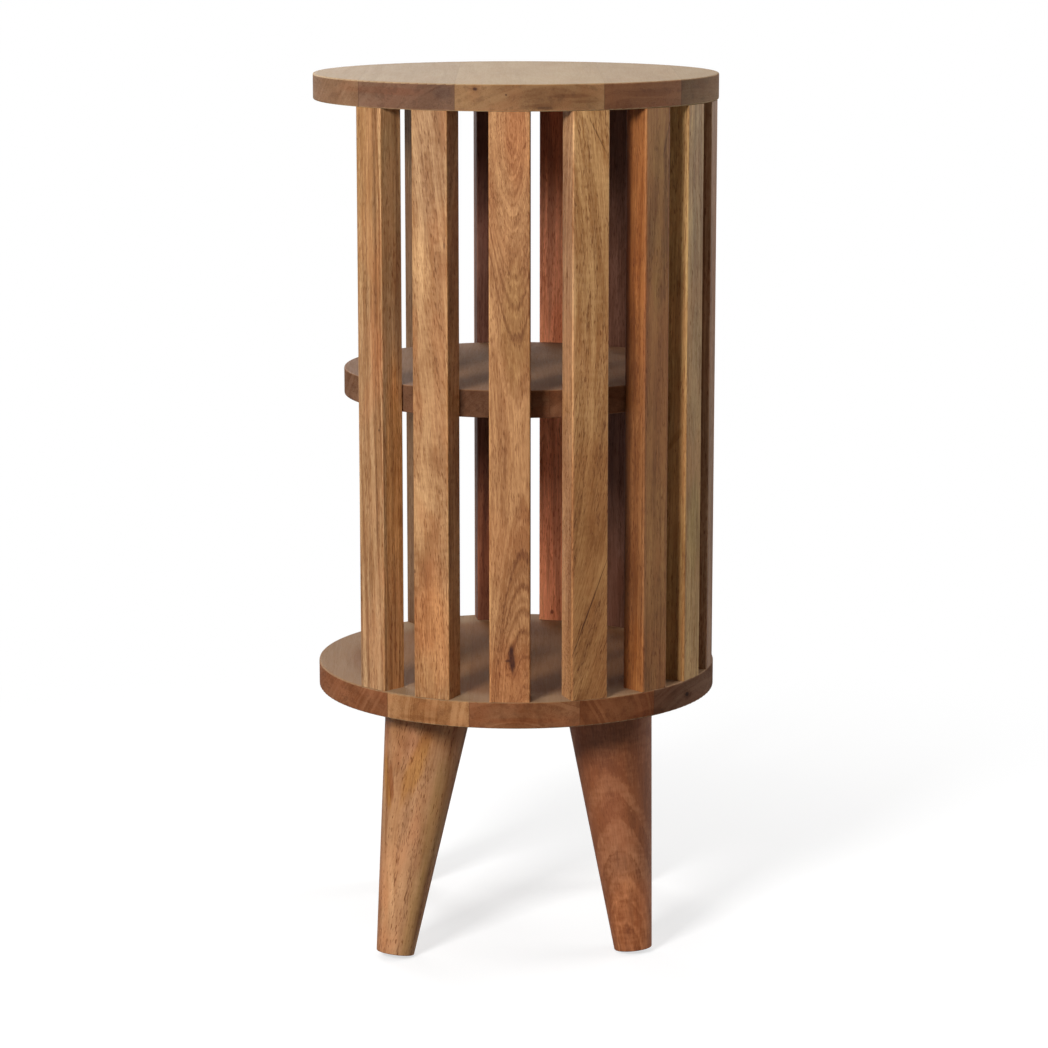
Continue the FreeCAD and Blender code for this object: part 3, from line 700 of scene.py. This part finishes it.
def slat_material(node, look, knots=(), marks=(), lines=()):
    """A stick of wood with slightly worn long edges."""
    material, t, surface = new_material(f"{node}_wood")
    place = slat_place(node)
    at = board_place(t, place)
    color = add_wood(t, surface, at, look, knots, marks, lines)
    x, y, _ = t.split(at)
    half = half_size(node, place)
    edge = arris(t, t.math("ABSOLUTE", x), t.math("ABSOLUTE", y), half[0], half[1])
    color = t.tint(color, SLAT_EDGE, t.math("MULTIPLY", edge, SLAT_EDGE_SHARE))
    t.feed(color, surface.inputs["Base Color"])
    return material


for node, own in SLAT_WOODS.items():
    dress(node, slat_material(node, **own))


# ---------------------------------------------------------------- legs

FOOT_BAND = 0.006       # metres above a leg's lowest point within which its foot lies
HEAD_BAND = 0.0001      # and below its highest for the sawn top

# Each leg's look, knots and marks.  Their places are in the leg's own frame: away from the
# table's middle, sideways, up from the foot along the leg.
LEG_WOODS = {
    "leg_front_right": dict(
        look=wood((184, 133, 90), Seed=31.3, Pith=(-22.0, -30.0, 0.0), Lean=(0.0, 0.10, 0.0), Ring=3.0,
                  Wander=10.0, Blushes=0.5, Fibre=0.4, Pores=1.5, Ripple=0.1),
        marks=[
            Mark(ROSY, 0.8, (17.0, 14.0, 160.0), (16.0, 9.0, 26.0)),
            # Painted shade under the base on the top of the leg.
            Mark(STAIN_AND_SHADE, 0.9, (15.0, 10.0, 186.0), (60.0, 60.0, 40.0), core=0.6),
            Mark(OLIVE, 1.0, (0.0, 24.0, 110.0), (13.0, 12.0, 90.0)),
            Mark(AMBER, 1.0, (26.0, -6.0, 128.0), (9.0, 5.0, 30.0), turn=(13.0, 0.0, 0.0), core=0.6),
            Mark(STAIN_AND_SHADE, 1.0, (26.5, -0.5, 127.0), (9.0, 3.2, 19.0), turn=(8.0, 0.0, 0.0), core=0.6),
            Mark(RUST, 1.0, (26.5, -0.5, 127.0), (9.0, 3.2, 19.0), turn=(8.0, 0.0, 0.0)),
            Mark(STAIN_AND_SHADE, 0.8, (28.0, 2.0, 142.0), (9.0, 7.0, 13.0)),
            Mark(AMBER, 0.9, (20.0, 17.5, 142.0), (12.0, 7.5, 40.0), turn=(-15.0, 0.0, 0.0)),
            Mark(OLIVE, 0.9, (2.0, 19.0, 20.0), (11.0, 11.0, 60.0)),
            Mark(STAIN_AND_SHADE, 0.4, (2.0, 19.0, 10.0), (11.0, 11.0, 60.0)),
            Mark(PALE, 0.4, (15.0, 10.0, 30.0), (30.0, 30.0, 50.0)),
            Mark(PALE, 0.7, (21.0, 4.0, 65.0), (13.0, 13.0, 70.0)),
        ],
    ),
    "leg_back_right": dict(
        look=wood((156, 98, 62), Seed=32.6, Pith=(5.5, -5.5, 0.0), Lean=(-0.03, 0.03, 0.0), Ring=1.8,
                  Wander=6.0, Rings=1.2, Blushes=0.3, Fibre=0.7, Ripple=0.3, Pores=0.5),
        knots=[Knot((12.0, -12.0, 24.0), (8.0, 8.0, 9.0), 1.5)],
        marks=[
            # Painted shade under the base on the top of the leg.
            Mark(STAIN_AND_SHADE, 0.7, (14.0, -14.0, 170.0), (40.0, 40.0, 60.0)),
            Mark(HONEY, 0.9, (14.0, -14.0, 20.0), (30.0, 30.0, 50.0)),
            Mark(STAIN_AND_SHADE, 0.6, (13.0, -13.0, 16.0), (7.0, 7.0, 4.0)),
        ],
    ),
    "leg_back_left": dict(
        look=wood((168, 118, 78), Seed=33.9, Pith=(20.0, 14.0, 0.0), Lean=(-0.05, 0.05, 0.0), Ring=2.6,
                  Wander=9.0),
    ),
    "leg_front_left": dict(
        look=wood((174, 128, 86), Seed=35.2, Pith=(-18.0, 22.0, 0.0), Lean=(0.05, 0.06, 0.0), Ring=2.8,
                  Wander=8.0),
    ),
}


def middle_of(points):
    """The mean of some points."""
    return sum(points, Vector()) / len(points)


def leg_place(node):
    """A leg's frame: Z up its own axis, X away from the table's middle, origin at the foot."""
    low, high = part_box(node)
    points = [vertex.co for vertex in NODES[node].data.vertices]
    foot = middle_of([point for point in points if point.z < low.z + FOOT_BAND])
    head = middle_of([point for point in points if point.z > high.z - HEAD_BAND])
    up = (head - foot).normalized()
    out = Vector((foot.x, foot.y, 0)).normalized()
    side = up.cross(out).normalized()
    turn = Matrix((side.cross(up), side, up)).transposed().to_4x4()
    return Matrix.Translation(foot) @ turn


def leg_material(node, look, knots=(), marks=()):
    """A turned leg, darker on its end grain."""
    material, t, surface = new_material(f"{node}_wood")
    place = leg_place(node)
    at = board_place(t, place)
    color = add_wood(t, surface, at, look, knots, marks)
    color = end_grain(t, color, place.to_3x3().col[2])
    t.feed(color, surface.inputs["Base Color"])
    return material


for node, own in LEG_WOODS.items():
    dress(node, leg_material(node, **own))


# ---------------------------------------------------------------- discs

PANEL_RADIUS = MM_PER_M * (cad_high.x - cad_low.x) / 2
RING_OF_SLATS = (112.0, 136.0)      # between these radii the faces' painted sheen and shade change
RIM_FACES = (0.8, 0.3)              # how upright a surface's normal is on a face and on the rim
FACE_ROUGHER, RIM_ROUGHER = 0.18, 0.30  # a disc's faces and rim are duller than the slats by these
TINT_ON_FACE = 0.12                 # how much of a board's own tint shows on the faces
GLUE = linear(70, 42, 26)
GLUE_WIDTH, GLUE_CORE = 0.5, 0.1    # a glue line fades between these distances
GLUE_ON_FACE, GLUE_ON_RIM = 0.1, 0.4
DISC_EDGE = (1.50, 1.40, 1.15, 1.0)     # worn upper and lower edges
DISC_GRAIN = (1.0, 0.0, 0.0)        # the boards run along X

# Each disc's boards run along X.  joints are the glue lines' places along Y.  A mark's place
# is (down, along Y, along X) from the disc's middle.  even is how far the finish hides the
# grain on the flat faces, inner_painted_light is painted sheen (top, shelf) or painted shade
# (base) on those faces inside the ring of slats, outer_painted_sheen is painted sheen out at
# the edge, corner is how pale the upper and lower edges are worn, and edge is the tint of the end grain.
DISCS = {
    "top_panel": dict(
        look=wood((167, 138, 102), Ring=5.0, Rings=0.45, Wander=9.0, Fibre=0.25, Pores=0.4),
        shine=0.5,
        even=0.75,
        # Painted sheen on the faces, inside the ring and at the edge.
        inner_painted_light=(1.05, 1.10, 1.20, 1.0),
        outer_painted_sheen=(1.05, 1.10, 1.20, 1.0),
        corner=0.6,
        edge=(0.56, 0.48, 0.42, 1.0),
        joints=[-112.0, -43.0, 62.0, 118.0],
        boards=[
            Board((70.0, 6.0), 41.0, (0.83, 0.68, 0.65, 1.0)),
            Board((90.0, -10.0), 42.3, (0.67, 0.55, 0.60, 1.0)),
            Board((80.0, 14.0), 43.6, (1.13, 0.98, 0.80, 1.0)),
            Board((100.0, 4.0), 44.9, (0.69, 0.43, 0.30, 1.0)),
            Board((60.0, -8.0), 46.2, (0.51, 0.41, 0.32, 1.0)),
        ],
        marks=[
            Mark(RUST, 0.9, (-3.0, -90.0, 110.0), (4.0, 44.0, 60.0)),
            Mark(GREY, 1.0, (-3.0, -51.0, 141.0), (7.0, 9.0, 14.0)),
            Mark(PALE, 0.6, (0.0, -34.0, 146.0), (9.0, 9.0, 14.0)),
            Mark(STAIN_AND_SHADE, 0.6, (-6.0, -28.5, 147.0), (4.0, 5.0, 12.0)),
            Mark(DARK, 1.0, (-6.0, -28.5, 147.0), (1.6, 2.2, 8.0)),
            Mark(DARK, 0.9, (-2.1, -6.9, 149.0), (1.0, 0.9, 6.0)),
            Mark(STAIN_AND_SHADE, 1.0, (6.3, 18.0, 148.0), (3.0, 14.0, 12.0)),
            Mark(DARK, 0.5, (7.2, 20.0, 148.0), (1.6, 7.0, 10.0)),
            Mark(STAIN_AND_SHADE, 0.9, (-1.0, 36.0, 144.0), (2.0, 22.0, 12.0)),
            Mark(STAIN_AND_SHADE, 0.7, (3.0, 48.0, 141.0), (1.4, 14.0, 12.0)),
            Mark(STAIN_AND_SHADE, 0.6, (0.0, 28.0, 144.0), (12.0, 42.0, 16.0)),
            Mark(STAIN_AND_SHADE, 0.8, (-1.0, 92.0, 118.0), (3.4, 26.0, 40.0)),
        ],
    ),
    "shelf": dict(
        look=wood((129, 90, 64), Ring=4.5, Wander=9.0, Fibre=0.3, Pores=0.5),
        shine=0.12,
        even=0.7,
        # Painted sheen on the faces, inside the ring and at the edge.
        inner_painted_light=(1.17, 1.36, 1.42, 1.0),
        outer_painted_sheen=(1.2, 1.4, 1.6, 1.0),
        corner=0.3,
        edge=(0.56, 0.52, 0.50, 1.0),
        joints=[-70.0, -8.0, 24.0, 88.0],
        boards=[
            Board((34.0, 4.0), 51.0, (0.95, 0.95, 0.95, 1.0)),
            Board((40.0, -6.0), 52.3, (0.92, 0.92, 0.94, 1.0)),
            Board((60.0, 8.0), 53.6, (1.3, 1.26, 1.2, 1.0)),
            Board((44.0, -4.0), 54.9, (1.3, 1.2, 1.1, 1.0)),
            Board((36.0, 2.0), 56.2, (0.92, 0.92, 0.92, 1.0)),
        ],
    ),
    "base_panel": dict(
        look=wood((150, 100, 66), Ring=4.0, Rings=0.7, Wander=8.0, Fibre=0.3, Pores=0.5),
        shine=0.15,
        even=0.75,
        # Painted shade on the faces inside the ring, painted sheen at the edge.
        inner_painted_light=(0.76, 0.79, 0.70, 1.0),
        outer_painted_sheen=(1.04, 1.46, 1.8, 1.0),
        corner=0.25,
        edge=(0.74, 0.66, 0.60, 1.0),
        joints=[-94.0, -34.0, 46.0, 101.0],
        boards=[
            Board((50.0, 10.0), 61.0, (1.0, 0.96, 0.96, 1.0)),
            Board((6.0, 90.0), 62.3, (1.55, 1.88, 1.85, 1.0)),
            Board((90.0, -12.0), 63.6, (1.08, 1.17, 1.24, 1.0)),
            Board((16.0, -60.0), 64.9, (0.80, 0.70, 0.62, 1.0)),
            Board((34.0, 8.0), 66.2, (0.48, 0.54, 0.66, 1.0)),
        ],
        marks=[
            Mark(RUST, 0.8, (4.0, 3.0, 150.0), (3.0, 40.0, 12.0)),
            Mark(STAIN_AND_SHADE, 0.7, (6.0, -70.0, 134.0), (2.5, 24.0, 20.0)),
            Mark(PALE, 0.6, (0.0, 58.0, 140.0), (9.0, 8.0, 20.0), turn=(30.0, 0.0, 0.0)),
            Mark(STAIN_AND_SHADE, 0.9, (8.0, 98.0, 113.0), (5.0, 24.0, 40.0)),
            Mark(STAIN_AND_SHADE, 0.9, (0.8, 126.5, 80.0), (5.0, 5.0, 16.0)),
            Mark(DARK, 1.0, (0.8, 126.5, 80.0), (2.2, 2.0, 10.0)),
        ],
    ),
}


def disc_place(node):
    """A disc's frame with the grain along its Z: X down, Y along Y, Z along X."""
    turn = Matrix(((0, 0, 1), (0, 1, 0), (-1, 0, 0))).to_4x4()
    return Matrix.Translation(centre(node)) @ turn


def board_at(t, y, joints, boards):
    """Pith, seed and tint of the board that a place along Y lies in."""
    ends = [-PANEL_RADIUS, *joints, PANEL_RADIUS]
    middles = [(low + high) / 2 for low, high in zip(ends, ends[1:])]
    # Pith and seed are switched together, as the parts of one colour.
    grains = [(board.pith[0], middle + board.pith[1], board.seed, 1.0)
              for middle, board in zip(middles, boards)]
    grain, tint = grains[0], boards[0].tint
    for joint, next_grain, next_board in zip(joints, grains[1:], boards[1:]):
        past = t.math("GREATER_THAN", y, joint)
        grain = t.mix(past, grain, next_grain)
        tint = t.mix(past, tint, next_board.tint)
    pith_down, pith_y, seed = t.split(grain)
    return t.join(pith_down, pith_y), seed, tint


def evened(t, color, look, radius, even, inner_painted_light, outer_painted_sheen):
    """The colour on a flat face, where the finish hides part of the grain, under painted sheen and shade
    that change at the ring of slats.
    """
    plain = [(pale + deep) / 2 for pale, deep in zip(look["Pale"], look["Deep"])]
    # Painted sheen and shade on the face, changing at the ring of slats.
    painted_light_zone = t.mix(t.spread(radius, *RING_OF_SLATS), inner_painted_light, outer_painted_sheen)
    return t.tint(t.mix(even, color, plain), painted_light_zone)


def glued(t, color, y, rim, joints):
    """The colour with the thin dark lines of the glue, which show most on the rim."""
    seen = t.spread(rim, 0.0, 1.0, GLUE_ON_FACE, GLUE_ON_RIM)
    for joint in joints:
        near = t.spread(t.gap(y, joint), GLUE_WIDTH, GLUE_CORE)
        color = t.mix(t.math("MULTIPLY", near, seen), color, GLUE)
    return color


def disc_material(node, look, joints, boards, edge, shine, even, inner_painted_light, outer_painted_sheen, corner, marks=()):
    """Boards glued edge to edge, with even, duller faces and worn corners."""
    material, t, surface = new_material(f"{node}_wood")
    place = disc_place(node)
    at = board_place(t, place)
    down, y, x = t.split(at)
    radius = t.vector("LENGTH", t.join(x, y))
    upright = t.math("ABSOLUTE", t.split(t.normal())[2])
    rim = t.spread(upright, *RIM_FACES)
    duller = t.spread(rim, 0.0, 1.0, FACE_ROUGHER, RIM_ROUGHER)

    pith, seed, tint = board_at(t, y, joints, boards)
    own_look = {**look, "Pith": pith, "Seed": seed}
    color = add_wood(t, surface, at, own_look, marks=marks, shine=shine, duller=duller)
    face = evened(t, color, look, radius, even, inner_painted_light, outer_painted_sheen)
    color = t.mix(rim, face, color)
    color = t.tint(color, tint, t.spread(rim, 0.0, 1.0, TINT_ON_FACE, 1.0))
    color = glued(t, color, y, rim, joints)
    color = end_grain(t, color, DISC_GRAIN, edge)
    half = half_size(node, place)
    edge_line = arris(t, radius, t.math("ABSOLUTE", down), half[1], half[0])
    color = t.tint(color, DISC_EDGE, t.math("MULTIPLY", edge_line, corner))
    t.feed(color, surface.inputs["Base Color"])
    return material


for node, own in DISCS.items():
    dress(node, disc_material(node, **own))


# ---------------------------------------------------------------- fasteners

DOWEL_WOOD = wood((214, 178, 134), Seed=71.0, Veins=0.0, Blushes=0.0, Pores=0.5)
TARNISH = (0.78, 0.76, 0.72)
TARNISH_SIZE = 3.0                  # millimetres
TARNISH_EDGE = (0.35, 0.7)
TARNISH_DULLER = 0.15
TOOL_MARKS = (0.2, 0.2, 3.0)        # noise cells for each millimetre: fine rings round an upright axis
TOOL_BUMP = 0.3


def dowel_material():
    """Bare beech, which is paler and plainer than the mango."""
    material, t, surface = new_material("beech_dowel")
    color = add_wood(t, surface, board_place(t, Matrix()), DOWEL_WOOD)
    t.feed(color, surface.inputs["Base Color"])
    return material


def metal_material(name, color, roughness):
    """Turned and plated metal: fine rings of tool marks and a little tarnish."""
    material, t, surface = new_material(name)
    at = board_place(t, Matrix())
    tarnish = t.noise(t.scale(at, 1 / TARNISH_SIZE), detail=3.0)[0]
    tarnish = t.spread(tarnish, *TARNISH_EDGE)
    t.feed(t.mix(tarnish, color, tinted(color, TARNISH)), surface.inputs["Base Color"])
    t.feed(t.total(roughness, (tarnish, TARNISH_DULLER)), surface.inputs["Roughness"])
    marks = t.noise(t.vector("MULTIPLY", at, TOOL_MARKS))[0]
    t.feed(t.bump(marks, TOOL_BUMP, BUMP_DEPTH), surface.inputs["Normal"])
    surface.inputs["Metallic"].default_value = 1.0
    return material


beech = dowel_material()
zinc = metal_material("zinc_steel", linear(204, 204, 200), 0.30)
brass = metal_material("turned_brass", linear(206, 172, 104), 0.28)
FASTENERS = {
    "top_dowels": beech, "shelf_dowels": beech,
    "slat_screws": zinc, "hanger_bolts": zinc, "threaded_inserts": brass,
}
for node, material in FASTENERS.items():
    dress(node, material)


# ---------------------------------------------------------------- floor and light

FLOOR_RADIUS = 9.0
FLOOR_CORNERS = 96
FLOOR_GREY = (0.42, 0.42, 0.42, 1.0)
FLOOR_ROUGHNESS = 0.9
FLOOR_GLOW = 0.66               # what the camera sees of the floor where no light reaches it
FLOOR_FADE = (0.3, 0.9)         # distances from the table between which the floor turns white
AMBIENT = 0.08                  # light from all round
BACKDROP = 0.92                 # added to it where the backdrop shows in reflections
BACKDROP_EDGE = (0.0, -0.7)     # X of the directions between which the backdrop appears
TABLE_MIDDLE = Vector((0, 0, 0.33))

# The camera, as fitted to the photo: 2.52 m out, 0.79 m up, looking a little down.
CAMERA_PLACE = (2.5204, 0.0, 0.7925)
CAMERA_PITCH, CAMERA_YAW = 0.1892, 0.00236
LENS_MM, SENSOR_MM = 116.3, 36.0


def add_floor():
    """A pale floor that turns into the white background away from the table."""
    bpy.ops.mesh.primitive_circle_add(
        vertices=FLOOR_CORNERS, radius=FLOOR_RADIUS, fill_type="NGON")
    floor = bpy.context.object
    floor.name = "floor"
    material, t, surface = new_material("pale_floor")
    surface.inputs["Base Color"].default_value = FLOOR_GREY
    surface.inputs["Roughness"].default_value = FLOOR_ROUGHNESS
    surface.inputs["Specular IOR Level"].default_value = 0.0
    seen = t.add("ShaderNodeLightPath").outputs["Is Camera Ray"]
    away = t.spread(t.vector("LENGTH", t.coordinates("Object")), *FLOOR_FADE)
    glow = t.add("ShaderNodeEmission", {
        "Color": WHITE, "Strength": t.math("MULTIPLY", seen, FLOOR_GLOW)})
    lit = t.add("ShaderNodeAddShader", {0: surface.outputs[0], 1: glow.outputs[0]})
    white = t.add("ShaderNodeEmission", {"Color": WHITE, "Strength": 1.0})
    mixed = t.add("ShaderNodeMixShader", {
        0: t.math("MULTIPLY", away, seen), 1: lit.outputs[0], 2: white.outputs[0]})
    t.feed(mixed.outputs[0], material.node_tree.nodes["Material Output"].inputs["Surface"])
    floor.data.materials.append(material)


def add_softbox(name, azimuth, elevation, distance, size, level):
    """A square soft lamp that looks at the middle of the table.

    azimuth counts from +X towards +Y.  level is the brightness that it gives a white
    surface which faces it.
    """
    data = bpy.data.lights.new(name, "AREA")
    data.size = size
    data.energy = level * math.pi ** 2 * distance ** 2
    lamp = bpy.data.objects.new(name, data)
    bpy.context.scene.collection.objects.link(lamp)
    turn, rise = math.radians(azimuth), math.radians(elevation)
    away = Vector((math.cos(turn) * math.cos(rise), math.sin(turn) * math.cos(rise), math.sin(rise)))
    lamp.location = TABLE_MIDDLE + away * distance
    lamp.rotation_mode = "QUATERNION"
    lamp.rotation_quaternion = away.to_track_quat("Z", "Y")


def set_world():
    """Low light from all round, which the camera sees as white.

    In reflections a pale backdrop shows behind the table.
    """
    world = bpy.data.worlds.new("studio")
    bpy.context.scene.world = world
    world.use_nodes = True
    t = Tree(world.node_tree)
    nodes = world.node_tree.nodes
    paths = t.add("ShaderNodeLightPath").outputs
    behind = t.spread(t.split(t.coordinates("Generated"))[0], *BACKDROP_EDGE)
    mirrored = t.math("MULTIPLY", behind, paths["Is Glossy Ray"])
    ambient = nodes["Background"]
    ambient.inputs["Color"].default_value = WHITE
    t.feed(t.total(AMBIENT, (mirrored, BACKDROP)), ambient.inputs["Strength"])
    white = t.add("ShaderNodeBackground", {"Color": WHITE, "Strength": 1.0})
    seen = t.math("MAXIMUM", paths["Is Camera Ray"], paths["Is Transmission Ray"])
    mixed = t.add("ShaderNodeMixShader", {0: seen, 1: ambient.outputs[0], 2: white.outputs[0]})
    t.feed(mixed.outputs[0], nodes["World Output"].inputs["Surface"])


def add_camera():
    """A plain camera at the photo's viewing angle."""
    data = bpy.data.cameras.new("camera")
    data.lens = LENS_MM
    data.sensor_width = SENSOR_MM
    camera = bpy.data.objects.new("camera", data)
    bpy.context.scene.collection.objects.link(camera)
    camera.location = CAMERA_PLACE
    camera.rotation_euler = (math.pi / 2 - CAMERA_PITCH, 0.0, math.pi / 2 - CAMERA_YAW)
    bpy.context.scene.camera = camera


add_floor()
add_softbox("key", azimuth=-28, elevation=25.6, distance=2.5, size=0.56, level=0.90)
add_softbox("fill", azimuth=105, elevation=20, distance=2.4, size=1.5, level=0.42)
add_softbox("back", azimuth=205, elevation=30, distance=2.4, size=1.5, level=0.42)
add_softbox("top", azimuth=0, elevation=80, distance=2.0, size=1.4, level=0.25)
set_world()
add_camera()
bpy.context.scene.view_settings.view_transform = "Standard"
